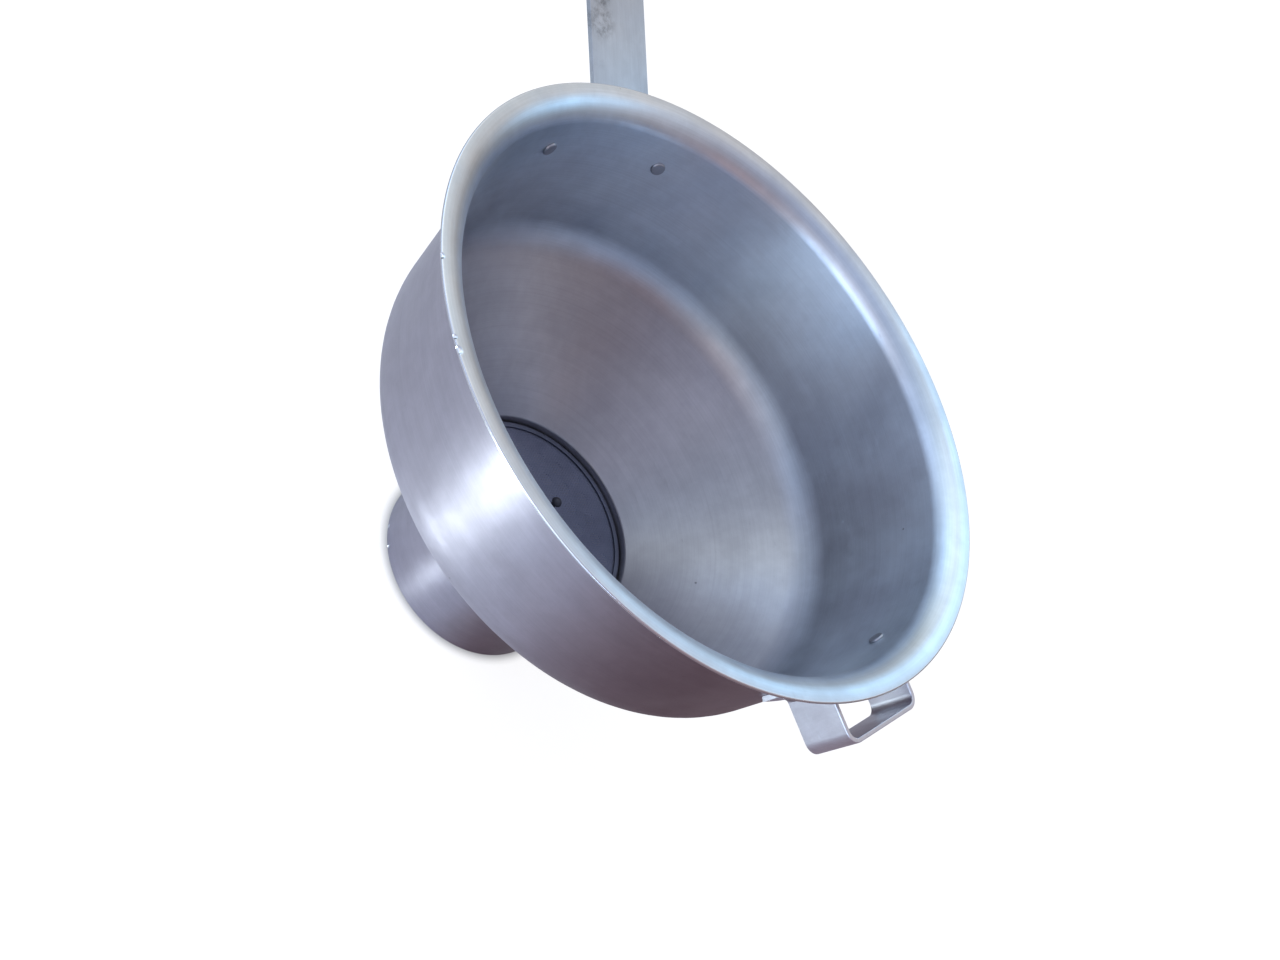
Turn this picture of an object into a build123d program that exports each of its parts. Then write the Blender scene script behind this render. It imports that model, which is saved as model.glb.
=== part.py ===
from build123d import *
import os
from math import asin, cos, degrees, hypot, radians, sin, tan

# A hand strainer for milk: a spun aluminium funnel with a flared lip, a strap handle,
# a bent rest loop on the far side, and a loose sieve that drops into the neck.
# Millimetres and degrees. Z is the axis, pointing out of the mouth. The spout stands on
# z = 0, and the handle leaves along +X.

# Bowl, measured on its milk side
sheet = 1.2
rim_radius = 120.0
lip_width = 10.7
lip_bend = 10.0
shoulder_bend = 24.0
wall_height = 68.4
wall_taper = 6.9
cone_angle = 41.7
neck_radius = 45.0
neck_bend = 1.5
neck_recess = 2.6
crimp_length = 2.6
crimp_bend = 1.2
lip_edge_round = 0.5

# Spout, measured on its outside
spout_radius = 41.0
spout_sheet = 1.2
spout_straight = 28.0
spout_flare_height = 6.0
spout_cup_height = 5.0
spout_bend = 3.0
spout_clearance = 0.15

# Sieve: a folded ring that holds wire gauze on a pierced plate, with a pin to lift it by
sieve_clearance = 0.3
seat_gap = 0.1
ring_sheet = 0.7
ring_flange = 2.6
ring_bend = 0.3
plate_thickness = 1.0
gauze_thickness = 0.5
layer_gap = 0.05
hole_radius = 3.1
hole_pitch = 9.2
hole_border = 1.2
pin_radius = 1.2
pin_height = 19.0
pin_head_radius = 2.2
pin_head_height = 2.6
pin_foot_radius = 2.6
pin_foot_height = 0.8
washer_radius = 6.0
washer_thickness = 0.8

# Strap handle
strap_width = 28.0
strap_thickness = 2.0
strap_rise = 22.9
strap_under_lip = 1.4
strap_bend = 7.5
strap_corner = 13.5
grip_length = 118.0
grip_bend_radius = 180.0
grip_drop = 12.0
grip_end_length = 58.0
foot_width = 73.0
foot_height = 18.0
foot_corner = 6.0
foot_bend = 2.0
hang_hole_radius = 5.0
hang_hole_from_end = 14.0

# Rest loop
loop_angle = 192.0
loop_width = 18.4
loop_thickness = 1.8
loop_span = 44.4
loop_reach = 21.0
loop_bend = 3.4
loop_foot_bend = 2.0
loop_foot_length = 11.5

# Rivets, and the gap left between pieces that are fastened face to face
rivet_depth = 21.2
rivet_radius = 1.8
rivet_hole_clearance = 0.1
rivet_head_radius = 3.4
rivet_head_height = 2.0
rivet_flush_radius = 3.0
rivet_flush_height = 0.8
handle_rivet_spacing = 56.6
fit_gap = 0.08

# Heights and radii that follow from the sizes above
ring_height = 2 * ring_sheet + plate_thickness + gauze_thickness + 3 * layer_gap
cup_base_z = spout_straight + spout_flare_height
ledge_z = cup_base_z + spout_cup_height
ring_z = ledge_z + seat_gap
plate_z = ring_z + ring_sheet + layer_gap
gauze_z = plate_z + plate_thickness + layer_gap
layer_radius = neck_radius - sieve_clearance - ring_sheet - ring_bend
neck_z = ring_z + ring_height + neck_recess
lip_root_radius = rim_radius - lip_width
shoulder_radius = lip_root_radius - wall_height * tan(radians(wall_taper))
shoulder_z = neck_z + (shoulder_radius - neck_radius) * tan(radians(cone_angle))
rim_z = shoulder_z + wall_height
rivet_z = rim_z - rivet_depth
loop_rivet_spacing = loop_span + loop_foot_length


def direction(start, end):
    """Unit vector from one point of a profile to the next."""
    length = hypot(end[0] - start[0], end[1] - start[1])
    return ((end[0] - start[0]) / length, (end[1] - start[1]) / length)


def bent_sheet(points, bends, thickness):
    """Face of a bent sheet, one side of which follows the points.

    The metal lies to the left of the points, or to their right for a negative thickness,
    and the bends are the radii of the given side, one for each inner point.
    """
    ways = [direction(a, b) for a, b in zip(points, points[1:])]
    far, far_bends = [], []
    for i, (x, y) in enumerate(points):
        before, after = ways[max(i - 1, 0)], ways[min(i, len(ways) - 1)]
        share = thickness / (1 + before[0] * after[0] + before[1] * after[1])
        far.append((x - (before[1] + after[1]) * share, y + (before[0] + after[0]) * share))
        if 0 < i < len(points) - 1:
            turns_left = before[0] * after[1] > before[1] * after[0]
            grown = -thickness if turns_left else thickness
            far_bends.append(max(bends[i - 1] + grown, 0.0))
    near_side = FilletPolyline(*points, radius=bends)
    far_side = FilletPolyline(*far, radius=far_bends)
    ends = [Line(points[0], far[0]), Line(points[-1], far[-1])]
    return make_face(near_side.edges() + far_side.edges() + ends)


def turned(face):
    """Solid made by turning a face, drawn as radius and height, about the axis."""
    return revolve(Plane.XZ * face, Axis.Z)


def wall_radius(z):
    """Outer radius of the straight part of the wall at a height."""
    inner = lip_root_radius - (rim_z - z) * tan(radians(wall_taper))
    return inner + sheet / cos(radians(wall_taper))


def wall_curve(z):
    """Radius of the wall's outer face, measured square to its slope."""
    return wall_radius(z) / cos(radians(wall_taper))


def wall_plane(angle, z):
    """Plane square to the wall's slope: x leaves the axis through the wall, z runs up it."""
    slope, turn = radians(wall_taper), radians(angle)
    out = Vector(cos(slope) * cos(turn), cos(slope) * sin(turn), -sin(slope))
    up = Vector(sin(slope) * cos(turn), sin(slope) * sin(turn), cos(slope))
    return Plane(origin=(0, 0, z + wall_radius(z) * tan(slope)), x_dir=out, z_dir=up)


def wall_normal(angle, z):
    """Plane that touches the wall's outer face, its z pointing straight out."""
    base = wall_plane(angle, z)
    origin = base.origin + base.x_dir * wall_curve(z)
    return Plane(origin=origin, x_dir=base.z_dir, z_dir=base.x_dir)


def rivet_places(centre, spacing):
    """Planes on the wall for two rivets that stand a distance apart."""
    half = degrees(asin(spacing / 2 / wall_radius(rivet_z)))
    return [wall_normal(centre + side * half, rivet_z) for side in (-1, 1)]


def drilled(piece, centre, spacing):
    """Piece with the holes for a pair of rivets."""
    drill = Cylinder(rivet_radius + rivet_hole_clearance, 6 * rivet_head_radius)
    for place in rivet_places(centre, spacing):
        piece -= place * drill
    return piece


def rivet(strap):
    """Rivet through the wall and a strap: low head on the milk side, round head outside."""
    inside = -sheet - fit_gap
    bottom = inside - rivet_flush_height
    outside = strap + 2 * fit_gap
    top = outside + rivet_head_height
    crown = TangentArc((0, top), (rivet_head_radius, outside), tangent=(1, 0))
    side = Polyline(
        (0, top),
        (0, bottom),
        (rivet_flush_radius * 0.75, bottom),
        (rivet_flush_radius, bottom + rivet_flush_height * 0.5),
        (rivet_flush_radius, inside),
        (rivet_radius, inside),
        (rivet_radius, outside),
        (rivet_head_radius, outside),
    )
    return turned(make_face(side.edges() + crown.edges()))


def rivet_pair(centre, spacing, strap):
    """Two rivets set square to the wall."""
    return Compound(children=[place * rivet(strap) for place in rivet_places(centre, spacing)])


def make_bowl():
    """Spun shell: flared lip, tapering wall, round shoulder, cone, and crimped collar."""
    flare = direction((neck_radius, cup_base_z), (spout_radius, spout_straight))
    points = [
        (rim_radius, rim_z),
        (lip_root_radius, rim_z),
        (shoulder_radius, shoulder_z),
        (neck_radius, neck_z),
        (neck_radius, cup_base_z),
        (neck_radius + flare[0] * crimp_length, cup_base_z + flare[1] * crimp_length),
    ]
    face = bent_sheet(points, [lip_bend, shoulder_bend, neck_bend, crimp_bend], sheet)
    lip_corners = face.vertices().filter_by(lambda v: v.X > rim_radius - sheet / 2)
    bowl = turned(fillet(lip_corners, lip_edge_round))
    bowl = drilled(bowl, 0, handle_rivet_spacing)
    return drilled(bowl, loop_angle, loop_rivet_spacing)


def make_spout():
    """Drawn tube: a cup held in the collar, whose edge seats the sieve, over a spigot."""
    cup_radius = neck_radius - spout_clearance
    points = [
        (cup_radius, ledge_z),
        (cup_radius, cup_base_z),
        (spout_radius, spout_straight),
        (spout_radius, 0),
    ]
    return turned(bent_sheet(points, [spout_bend, spout_bend], -spout_sheet))


def make_sieve_ring():
    """Folded ring, open inwards, that grips the rims of the gauze and the plate."""
    outer = neck_radius - sieve_clearance
    points = [
        (outer - ring_flange, ring_z),
        (outer, ring_z),
        (outer, ring_z + ring_height),
        (outer - ring_flange, ring_z + ring_height),
    ]
    return turned(bent_sheet(points, [ring_bend + ring_sheet] * 2, ring_sheet))


def disc(z, thickness, radius):
    """Flat disc on the axis with a hole for the lifting pin."""
    face = Circle(radius) - Circle(pin_radius + fit_gap)
    return Pos(0, 0, z) * extrude(face, thickness)


def hole_spots(reach):
    """Centres of the plate's holes: staggered rows inside a circle, none on the axis."""
    row = hole_pitch * sin(radians(60))
    rows, columns = int(reach / row), int(reach / hole_pitch) + 1
    spots = []
    for j in range(-rows, rows + 1):
        for i in range(-columns, columns + 1):
            x, y = (i + j % 2 / 2) * hole_pitch, j * row
            if hole_pitch / 2 < hypot(x, y) <= reach:
                spots.append((x, y))
    return spots


def make_support_plate():
    """Plate under the gauze, with a field of round holes."""
    plate = disc(plate_z, plate_thickness, layer_radius)
    reach = layer_radius - ring_flange - hole_border - hole_radius
    for x, y in hole_spots(reach):
        plate -= Pos(x, y, plate_z) * Cylinder(hole_radius, 3 * plate_thickness)
    return plate


def make_gauze():
    """Disc of fine wire gauze, as the solid that it fills."""
    return disc(gauze_z, gauze_thickness, layer_radius)


def make_pin_washer():
    """Washer that spreads the pin's hold over the gauze."""
    return disc(gauze_z + gauze_thickness + layer_gap, washer_thickness, washer_radius)


def make_lift_pin():
    """Pin that the sieve is lifted by: headed on top, clinched under the plate."""
    base = plate_z - layer_gap
    foot = base - pin_foot_height
    top = gauze_z + gauze_thickness + pin_height
    neck = top - pin_head_height
    belly = neck + pin_head_height * 0.3
    crown = TangentArc((0, top), (pin_head_radius, belly), tangent=(1, 0))
    side = Polyline(
        (0, top),
        (0, foot),
        (pin_foot_radius, foot),
        (pin_foot_radius, base),
        (pin_radius, base),
        (pin_radius, neck),
        (pin_head_radius, belly),
    )
    return turned(make_face(side.edges() + crown.edges()))


def strap_side():
    """Outline of the handle's strap, drawn as radius and height, and its tip."""
    slope, rise = radians(wall_taper), radians(strap_rise)
    fall = radians(strap_rise - grip_drop)
    low_z = rivet_z - foot_height / 2 * cos(slope)
    # The strap's upper face lies along the wall, then passes below the lip's edge.
    face_radius = wall_radius(rivet_z) + fit_gap / cos(slope)
    axis_radius = face_radius - rivet_z * tan(slope)
    edge_z = rim_z - sheet - strap_under_lip
    bend_z = (edge_z - (rim_radius - axis_radius) * tan(rise)) / (1 - tan(slope) * tan(rise))
    low = (axis_radius + low_z * tan(slope), low_z)
    bend = (axis_radius + bend_z * tan(slope), bend_z)
    turn = (bend[0] + grip_length * cos(rise), bend[1] + grip_length * sin(rise))
    tip = (turn[0] + grip_end_length * cos(fall), turn[1] + grip_end_length * sin(fall))
    face = bent_sheet([low, bend, turn, tip], [strap_bend, grip_bend_radius], -strap_thickness)
    return face, tip


def make_handle():
    """Strap on a broad riveted foot, bent out under the lip and rising past its edge."""
    # The foot is flat behind the strap, and its wings lie on the wall at the rivets.
    inner = wall_curve(rivet_z) + fit_gap
    lean = asin(handle_rivet_spacing / 2 / wall_curve(rivet_z))
    flat = inner * tan(lean / 2)
    end_x = inner - (foot_width / 2 - flat) * tan(lean)
    points = [(end_x, -foot_width / 2), (inner, -flat), (inner, flat), (end_x, foot_width / 2)]
    sheet_face = bent_sheet(points, [foot_bend, foot_bend], -strap_thickness)
    foot = extrude(sheet_face, foot_height / 2, both=True)
    foot = fillet(foot.edges().filter_by(lambda e: abs(e.length - strap_thickness) < 0.01), foot_corner)
    face, tip = strap_side()
    strap = extrude(Plane.XZ * face, strap_width / 2, both=True)
    corners = strap.edges().filter_by(
        lambda e: abs(e.length - strap_thickness) < 0.01 and e.center().X > tip[0] - strap_thickness
    )
    strap = fillet(corners, strap_corner)
    fall = radians(strap_rise - grip_drop)
    end = Plane(origin=(tip[0], 0, tip[1]), x_dir=(cos(fall), 0, sin(fall)), z_dir=(-sin(fall), 0, cos(fall)))
    strap -= end * Pos(-hang_hole_from_end, 0) * Cylinder(hang_hole_radius, 4 * strap_thickness)
    return drilled(wall_plane(0, rivet_z) * foot + strap, 0, handle_rivet_spacing)


def make_rest_loop():
    """Strap bent round three sides of a box, with a riveted foot turned out at each end."""
    inner = wall_curve(rivet_z) + fit_gap
    tip = wall_curve(rivet_z) + loop_reach
    hollow = loop_span - 2 * loop_thickness
    feet = Circle(inner + loop_thickness) - Circle(inner)
    feet &= Pos(inner, 0) * Rectangle(inner, loop_span + 2 * loop_foot_length)
    outside = Rectangle(2 * tip, loop_span)
    outside = fillet(outside.vertices(), loop_bend + loop_thickness)
    inside = Rectangle(2 * (tip - loop_thickness), hollow)
    inside = fillet(inside.vertices(), loop_bend)
    legs = (outside - Circle(inner)) & Pos(tip, 0) * Rectangle(tip, loop_span)
    face = feet + legs - inside
    heels = face.vertices().filter_by(lambda v: hypot(v.X, v.Y) < inner + 0.01 and abs(v.Y) < loop_span / 2)
    face = fillet(heels, loop_foot_bend + loop_thickness)
    arches = face.vertices().filter_by(
        lambda v: abs(abs(v.Y) - loop_span / 2) < 0.01 and v.X < inner + loop_thickness
    )
    face = fillet(arches, loop_foot_bend)
    loop = wall_plane(loop_angle, rivet_z) * extrude(face, loop_width / 2, both=True)
    return drilled(loop, loop_angle, loop_rivet_spacing)


def make_pieces():
    """Every piece by its name."""
    return {
        "bowl": make_bowl(),
        "spout": make_spout(),
        "sieve_ring": make_sieve_ring(),
        "support_plate": make_support_plate(),
        "gauze": make_gauze(),
        "pin_washer": make_pin_washer(),
        "lift_pin": make_lift_pin(),
        "handle": make_handle(),
        "handle_rivets": rivet_pair(0, handle_rivet_spacing, strap_thickness),
        "rest_loop": make_rest_loop(),
        "loop_rivets": rivet_pair(loop_angle, loop_rivet_spacing, loop_thickness),
    }


os.makedirs("parts", exist_ok=True)
for name, piece in make_pieces().items():
    export_step(piece, f"parts/{name}.step")
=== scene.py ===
import logging
import math
from dataclasses import dataclass, replace
from enum import Enum
from typing import Callable, Sequence

import bmesh
import bpy
from mathutils import Matrix, Vector


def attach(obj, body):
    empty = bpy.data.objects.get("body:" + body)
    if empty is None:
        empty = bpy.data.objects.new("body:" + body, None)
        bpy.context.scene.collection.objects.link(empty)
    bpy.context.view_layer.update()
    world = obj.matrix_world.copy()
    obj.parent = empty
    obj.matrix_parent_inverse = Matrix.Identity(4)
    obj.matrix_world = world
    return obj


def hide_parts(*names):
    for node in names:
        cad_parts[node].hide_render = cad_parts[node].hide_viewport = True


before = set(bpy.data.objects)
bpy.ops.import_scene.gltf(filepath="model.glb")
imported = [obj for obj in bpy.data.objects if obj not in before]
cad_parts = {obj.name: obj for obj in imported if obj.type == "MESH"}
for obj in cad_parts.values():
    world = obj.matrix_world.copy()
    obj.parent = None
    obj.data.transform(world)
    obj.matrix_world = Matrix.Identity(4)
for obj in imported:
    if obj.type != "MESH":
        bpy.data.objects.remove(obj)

log = logging.getLogger("milk_strainer")

MM = 0.001
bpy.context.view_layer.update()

# Edges sharper than this, in degrees, stay sharp. The wires' angular sections are smoothed.
SHARP_ANGLE = 35.0
WIRE_SHARP_ANGLE = 100.0
# Radius of the circle that profiles turn about, and how near points are joined, in metres.
TURNING_RADIUS = 1e-6
WELD_DISTANCE = 4e-6
# Faces round a large piece, a washer and a small piece, a bend and a strip's edge.
ROUND_STEPS = 192
WASHER_STEPS = 64
SMALL_STEPS = 48
BEND_STEPS = 8
EDGE_STEPS = 4
# Share of a ball's radius that still fits a cap as its rounding.
FULL_ROUND = 0.999
# Half a wire's length, as a share of the gauze's width.
WIRE_REACH = 0.6
# Share of a mark's radius in which it is full.
MARK_CORE = 0.35

Socket = bpy.types.NodeSocket
Span = tuple[float, float]
Point = tuple[float, float, float]
OutlinePoint = tuple[float, float, float]
Colour = tuple[float, float, float]


class Body(Enum):
    """The two bodies of the strainer that can move apart."""

    STRAINER = "strainer"
    SIEVE = "sieve"


class Grain(Enum):
    """How the tool marks of a finish run."""

    RINGS = "round the axis"
    LENGTHWISE = "along a strap"
    NONE = "no direction"


class MarkKind(Enum):
    """What use has left at one place; a nick is also painted bright as a glint."""

    SMUDGE = "dark dirt"
    # A real dent, painted brighter as a glint.
    NICK = "small bright dent"


# Node trees


class NodeBuilder:
    """Adds nodes to a tree and joins their sockets."""

    def __init__(self, tree: bpy.types.NodeTree) -> None:
        """Starts on an empty or existing tree."""
        self.tree = tree

    def add(self, kind: str, inputs: dict | None = None, **settings: object) -> bpy.types.Node:
        """Adds one node.

        Args:
            kind: type name of the node.
            inputs: values or sockets for its inputs, by name or index.
            settings: properties of the node itself.

        Returns:
            The new node.
        """
        node = self.tree.nodes.new(kind)
        for key, value in settings.items():
            setattr(node, key, value)
        for key, value in (inputs or {}).items():
            if isinstance(value, Socket):
                self.tree.links.new(value, node.inputs[key])
            else:
                node.inputs[key].default_value = value
        return node

    def math(self, operation: str, *values: object) -> Socket:
        """One step of arithmetic on numbers."""
        return self.add("ShaderNodeMath", dict(enumerate(values)), operation=operation).outputs[0]

    def vector(self, operation: str, *values: object) -> Socket:
        """One step of arithmetic on vectors."""
        inputs = dict(enumerate(values))
        return self.add("ShaderNodeVectorMath", inputs, operation=operation).outputs[0]

    def measure(self, operation: str, *values: object) -> Socket:
        """One number worked out from vectors, such as a length."""
        inputs = dict(enumerate(values))
        return self.add("ShaderNodeVectorMath", inputs, operation=operation).outputs["Value"]

    def combine(self, *parts: object) -> Socket:
        """A vector of up to three numbers, with zeros for those not given."""
        return self.add("ShaderNodeCombineXYZ", dict(enumerate(parts))).outputs[0]


class ShapeTree(NodeBuilder):
    """A Geometry Nodes tree with named inputs, which ends in plain, dressed faces."""

    def __init__(self, name: str) -> None:
        """Makes a tree with a geometry input and output."""
        super().__init__(bpy.data.node_groups.new(name, "GeometryNodeTree"))
        for way in ("INPUT", "OUTPUT"):
            self.tree.interface.new_socket("Geometry", in_out=way, socket_type="NodeSocketGeometry")
        self.start = self.tree.nodes.new("NodeGroupInput")
        self.end = self.tree.nodes.new("NodeGroupOutput")

    def ask(self, name: str, kind: str = "Float") -> Socket:
        """Adds a named input of a kind such as Float or Int, and returns its socket."""
        self.tree.interface.new_socket(name, in_out="INPUT", socket_type=f"NodeSocket{kind}")
        return self.start.outputs[name]

    def attribute(self, name: str, kind: str = "FLOAT") -> Socket:
        """Reads a named attribute of the geometry."""
        read = self.add("GeometryNodeInputNamedAttribute", {"Name": name}, data_type=kind)
        return read.outputs[0]

    def rounded(self, steps: Socket) -> Socket:
        """Turns the given edges into a line, with corners rounded by their bend attribute."""
        line = self.add("GeometryNodeMeshToCurve", {"Mesh": self.start.outputs[0]}).outputs[0]
        bend = self.attribute("bend")
        inputs = {"Curve": line, "Count": steps, "Radius": bend, "Limit Radius": True}
        return self.add("GeometryNodeFilletCurve", inputs, mode="POLY").outputs[0]

    def sweep(self, path: Socket, profile: Socket, capped: bool = False) -> Socket:
        """Draws a profile along a level path, its second axis pointing down."""
        upright = self.add("GeometryNodeSetCurveNormal", {"Curve": path}, mode="Z_UP").outputs[0]
        inputs = {"Curve": upright, "Profile Curve": profile, "Fill Caps": capped}
        return self.add("GeometryNodeCurveToMesh", inputs).outputs[0]

    def close(self, geometry: Socket, sharp: float = SHARP_ANGLE) -> None:
        """Ends the tree: plain faces, smooth but for sharp edges, with the material on.

        Args:
            geometry: the finished geometry.
            sharp: angle in degrees past which an edge stays sharp.
        """
        plain = self.add("GeometryNodeRealizeInstances", {"Geometry": geometry}).outputs[0]
        inputs = {0: plain, "Shade Smooth": True}
        smooth = self.add("GeometryNodeSetShadeSmooth", inputs).outputs[0]
        angle = self.add("GeometryNodeInputMeshEdgeAngle").outputs[0]
        inputs = {0: angle, 1: math.radians(sharp)}
        edge = self.add("FunctionNodeCompare", inputs, operation="GREATER_THAN").outputs[0]
        inputs = {0: smooth, "Selection": edge, "Shade Smooth": False}
        creased = self.add("GeometryNodeSetShadeSmooth", inputs, domain="EDGE").outputs[0]
        inputs = {"Geometry": creased, "Material": self.ask("Material", "Material")}
        dressed = self.add("GeometryNodeSetMaterial", inputs)
        self.tree.links.new(dressed.outputs[0], self.end.inputs[0])


@dataclass(frozen=True)
class Pattern:
    """Soft noise, stepped smoothly.

    Attributes:
        scale: turns per metre.
        detail: number of finer layers.
        rough: strength of the finer layers.
        low: noise at which the step starts.
        high: noise at which it ends.
    """

    scale: float
    detail: float
    rough: float
    low: float = 0.0
    high: float = 1.0


class ShadeTree(NodeBuilder):
    """The node tree of one material, with short names for the steps used most."""

    def __init__(self, name: str) -> None:
        """Makes an empty material."""
        self.material = bpy.data.materials.new(name)
        self.material.use_nodes = True
        super().__init__(self.material.node_tree)
        self.tree.nodes.clear()
        self.place = self.add("ShaderNodeTexCoord").outputs["Object"]
        self.flat = self.vector("MULTIPLY", self.place, (1.0, 1.0, 0.0))
        self.height = self.add("ShaderNodeSeparateXYZ", {0: self.place}).outputs[2]
        self.normal = self.add("ShaderNodeNewGeometry").outputs["Normal"]

    def noise(self, kind: Pattern, place: Socket | None = None) -> Socket:
        """Soft noise from 0 to 1, read on the piece itself or at another place."""
        inputs = {
            "Vector": self.place if place is None else place,
            "Scale": kind.scale,
            "Detail": kind.detail,
            "Roughness": kind.rough,
        }
        return self.add("ShaderNodeTexNoise", inputs).outputs["Fac"]

    def pattern(self, kind: Pattern, to: Span = (0.0, 1.0), place: Socket | None = None) -> Socket:
        """A stepped pattern, with its results before and after the step."""
        return self.ramp(self.noise(kind, place), kind.low, kind.high, to)

    def ramp(self, value: Socket, low: float, high: float, to: Span = (0.0, 1.0)) -> Socket:
        """Smooth step of a value.

        Args:
            value: the number to map.
            low: value at which the step starts.
            high: value at which it ends.
            to: results before and after the step.

        Returns:
            The mapped number.
        """
        inputs = {
            "Value": value,
            "From Min": low,
            "From Max": high,
            "To Min": to[0],
            "To Max": to[1],
        }
        return self.add("ShaderNodeMapRange", inputs, interpolation_type="SMOOTHSTEP").outputs[0]

    def blend(self, factor: object, low: object, high: object, how: str = "MIX") -> Socket:
        """Mixes two colours.

        Args:
            factor: share of the second colour.
            low: first colour, a tuple or a socket.
            high: second colour.
            how: blend mode.

        Returns:
            The mixed colour.
        """
        low, high = ((*c, 1.0) if isinstance(c, tuple) else c for c in (low, high))
        inputs = {0: factor, 6: low, 7: high}
        return self.add("ShaderNodeMix", inputs, data_type="RGBA", blend_type=how).outputs[2]

    def tint(self, colour: Socket, by: object) -> Socket:
        """Multiplies a colour by another, or by a number."""
        return self.blend(1.0, colour, by, "MULTIPLY")

    def near(self, spot: Vector, radius: float) -> Socket:
        """1 at a spot on the piece, falling to 0 at a radius from it, in metres."""
        away = self.measure("DISTANCE", self.place, spot)
        return self.ramp(away, radius * MARK_CORE, radius, (1.0, 0.0))

    def bump(self, height: Socket, depth: float, normal: Socket | None = None) -> Socket:
        """Relief of a depth in metres, on top of an earlier normal where one is given."""
        inputs = {"Strength": 1.0, "Distance": depth, "Height": height}
        if normal is not None:
            inputs["Normal"] = normal
        return self.add("ShaderNodeBump", inputs).outputs[0]

    def end(self, shader: Socket) -> bpy.types.Material:
        """Joins the shader to the output and returns the material."""
        self.add("ShaderNodeOutputMaterial", {"Surface": shader})
        return self.material


# Shapes


def direction(start: Sequence[float], end: Sequence[float]) -> Span:
    """Unit vector from one point of a profile to the next."""
    length = math.hypot(end[0] - start[0], end[1] - start[1])
    return ((end[0] - start[0]) / length, (end[1] - start[1]) / length)


def sheet_outline(
    points: Sequence[Span], bends: Sequence[float], thickness: float, ends: Span = (0.0, 0.0)
) -> list[OutlinePoint]:
    """Closed outline of a bent sheet, one side of which follows the points.

    Args:
        points: corners of the given side, in mm.
        bends: radii of the given side at its inner points.
        thickness: metal to the left of the points, or to their right if negative.
        ends: rounding of the sheet's edge at the first and the last point.

    Returns:
        Corners as x, y and the radius that rounds them.
    """
    ways = [direction(a, b) for a, b in zip(points, points[1:])]
    near, far = [], []
    for i, (x, y) in enumerate(points):
        before, after = ways[max(i - 1, 0)], ways[min(i, len(ways) - 1)]
        share = thickness / (1 + before[0] * after[0] + before[1] * after[1])
        offset = (x - (before[1] + after[1]) * share, y + (before[0] + after[0]) * share)
        if 0 < i < len(points) - 1:
            turns_left = before[0] * after[1] > before[1] * after[0]
            grown = -thickness if turns_left else thickness
            near.append((x, y, bends[i - 1]))
            far.append((*offset, max(bends[i - 1] + grown, 0.0)))
        else:
            edge = ends[0] if i == 0 else ends[1]
            near.append((x, y, edge))
            far.append((*offset, edge))
    return near + far[::-1]


def crown(radius: float, height: float) -> Span:
    """Where a domed cap's flat top would end, and the radius that rounds it."""
    ball = (radius**2 + height**2) / (2 * height)
    turn = math.asin(min(radius / ball, 1.0))
    return ball * math.tan(turn / 2), ball * FULL_ROUND


def line_mesh(name: str, points: Sequence[OutlinePoint], closed: bool) -> bpy.types.Mesh:
    """Profile or path as edges, with the rounding of each corner as an attribute.

    Args:
        name: name of the mesh.
        points: corners in mm, with the radius that rounds each.
        closed: whether the last point joins the first.

    Returns:
        The mesh, in metres, in its own XY plane.
    """
    if closed:
        after = [*points[1:], points[0]]
        area = sum(a[0] * b[1] - b[0] * a[1] for a, b in zip(points, after))
        points = points if area > 0 else points[::-1]
    count = len(points)
    mesh = bpy.data.meshes.new(name)
    edges = [(i, (i + 1) % count) for i in range(count if closed else count - 1)]
    mesh.from_pydata([(x * MM, y * MM, 0.0) for x, y, _ in points], edges, [])
    bend = mesh.attributes.new("bend", "FLOAT", "POINT")
    bend.data.foreach_set("value", [rounding * MM for _, _, rounding in points])
    return mesh


def grow(name: str, mesh: bpy.types.Mesh, tree: ShapeTree, **values: object) -> bpy.types.Object:
    """Runs a tree on a mesh and keeps the result as a plain mesh.

    Args:
        name: name of the piece.
        mesh: what the tree starts from.
        tree: the Geometry Nodes tree.
        values: its named inputs, with spaces written as underscores.

    Returns:
        The piece, at the origin, with no modifier left.
    """
    piece = bpy.data.objects.new(name, mesh)
    bpy.context.scene.collection.objects.link(piece)
    shape = piece.modifiers.new("shape", "NODES")
    shape.node_group = tree.tree
    for socket in tree.tree.interface.items_tree:
        key = socket.name.replace(" ", "_")
        if socket.in_out == "INPUT" and key in values:
            shape[socket.identifier] = values[key]
    return settle(piece)


def settle(piece: bpy.types.Object) -> bpy.types.Object:
    """Turns a piece's modifiers into its mesh, with flat faces kept flat in the shading."""
    normals = piece.modifiers.new("normals", "WEIGHTED_NORMAL")
    normals.keep_sharp = True
    graph = bpy.context.evaluated_depsgraph_get()
    mesh = bpy.data.meshes.new_from_object(
        piece.evaluated_get(graph), preserve_all_data_layers=True, depsgraph=graph
    )
    piece.modifiers.clear()
    piece.data = mesh
    mesh.name = piece.name
    return piece


def turned_tree() -> ShapeTree:
    """Tree that rounds the corners of a profile and turns it about the axis."""
    tree = ShapeTree("turned metal")
    inputs = {"Resolution": tree.ask("Steps", "Int"), "Radius": TURNING_RADIUS}
    circle = tree.add("GeometryNodeCurvePrimitiveCircle", inputs).outputs[0]
    swept = tree.sweep(circle, tree.rounded(tree.ask("Bend steps", "Int")))
    inputs = {"Geometry": swept, "Distance": WELD_DISTANCE}
    tree.close(tree.add("GeometryNodeMergeByDistance", inputs).outputs[0])
    return tree


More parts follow.
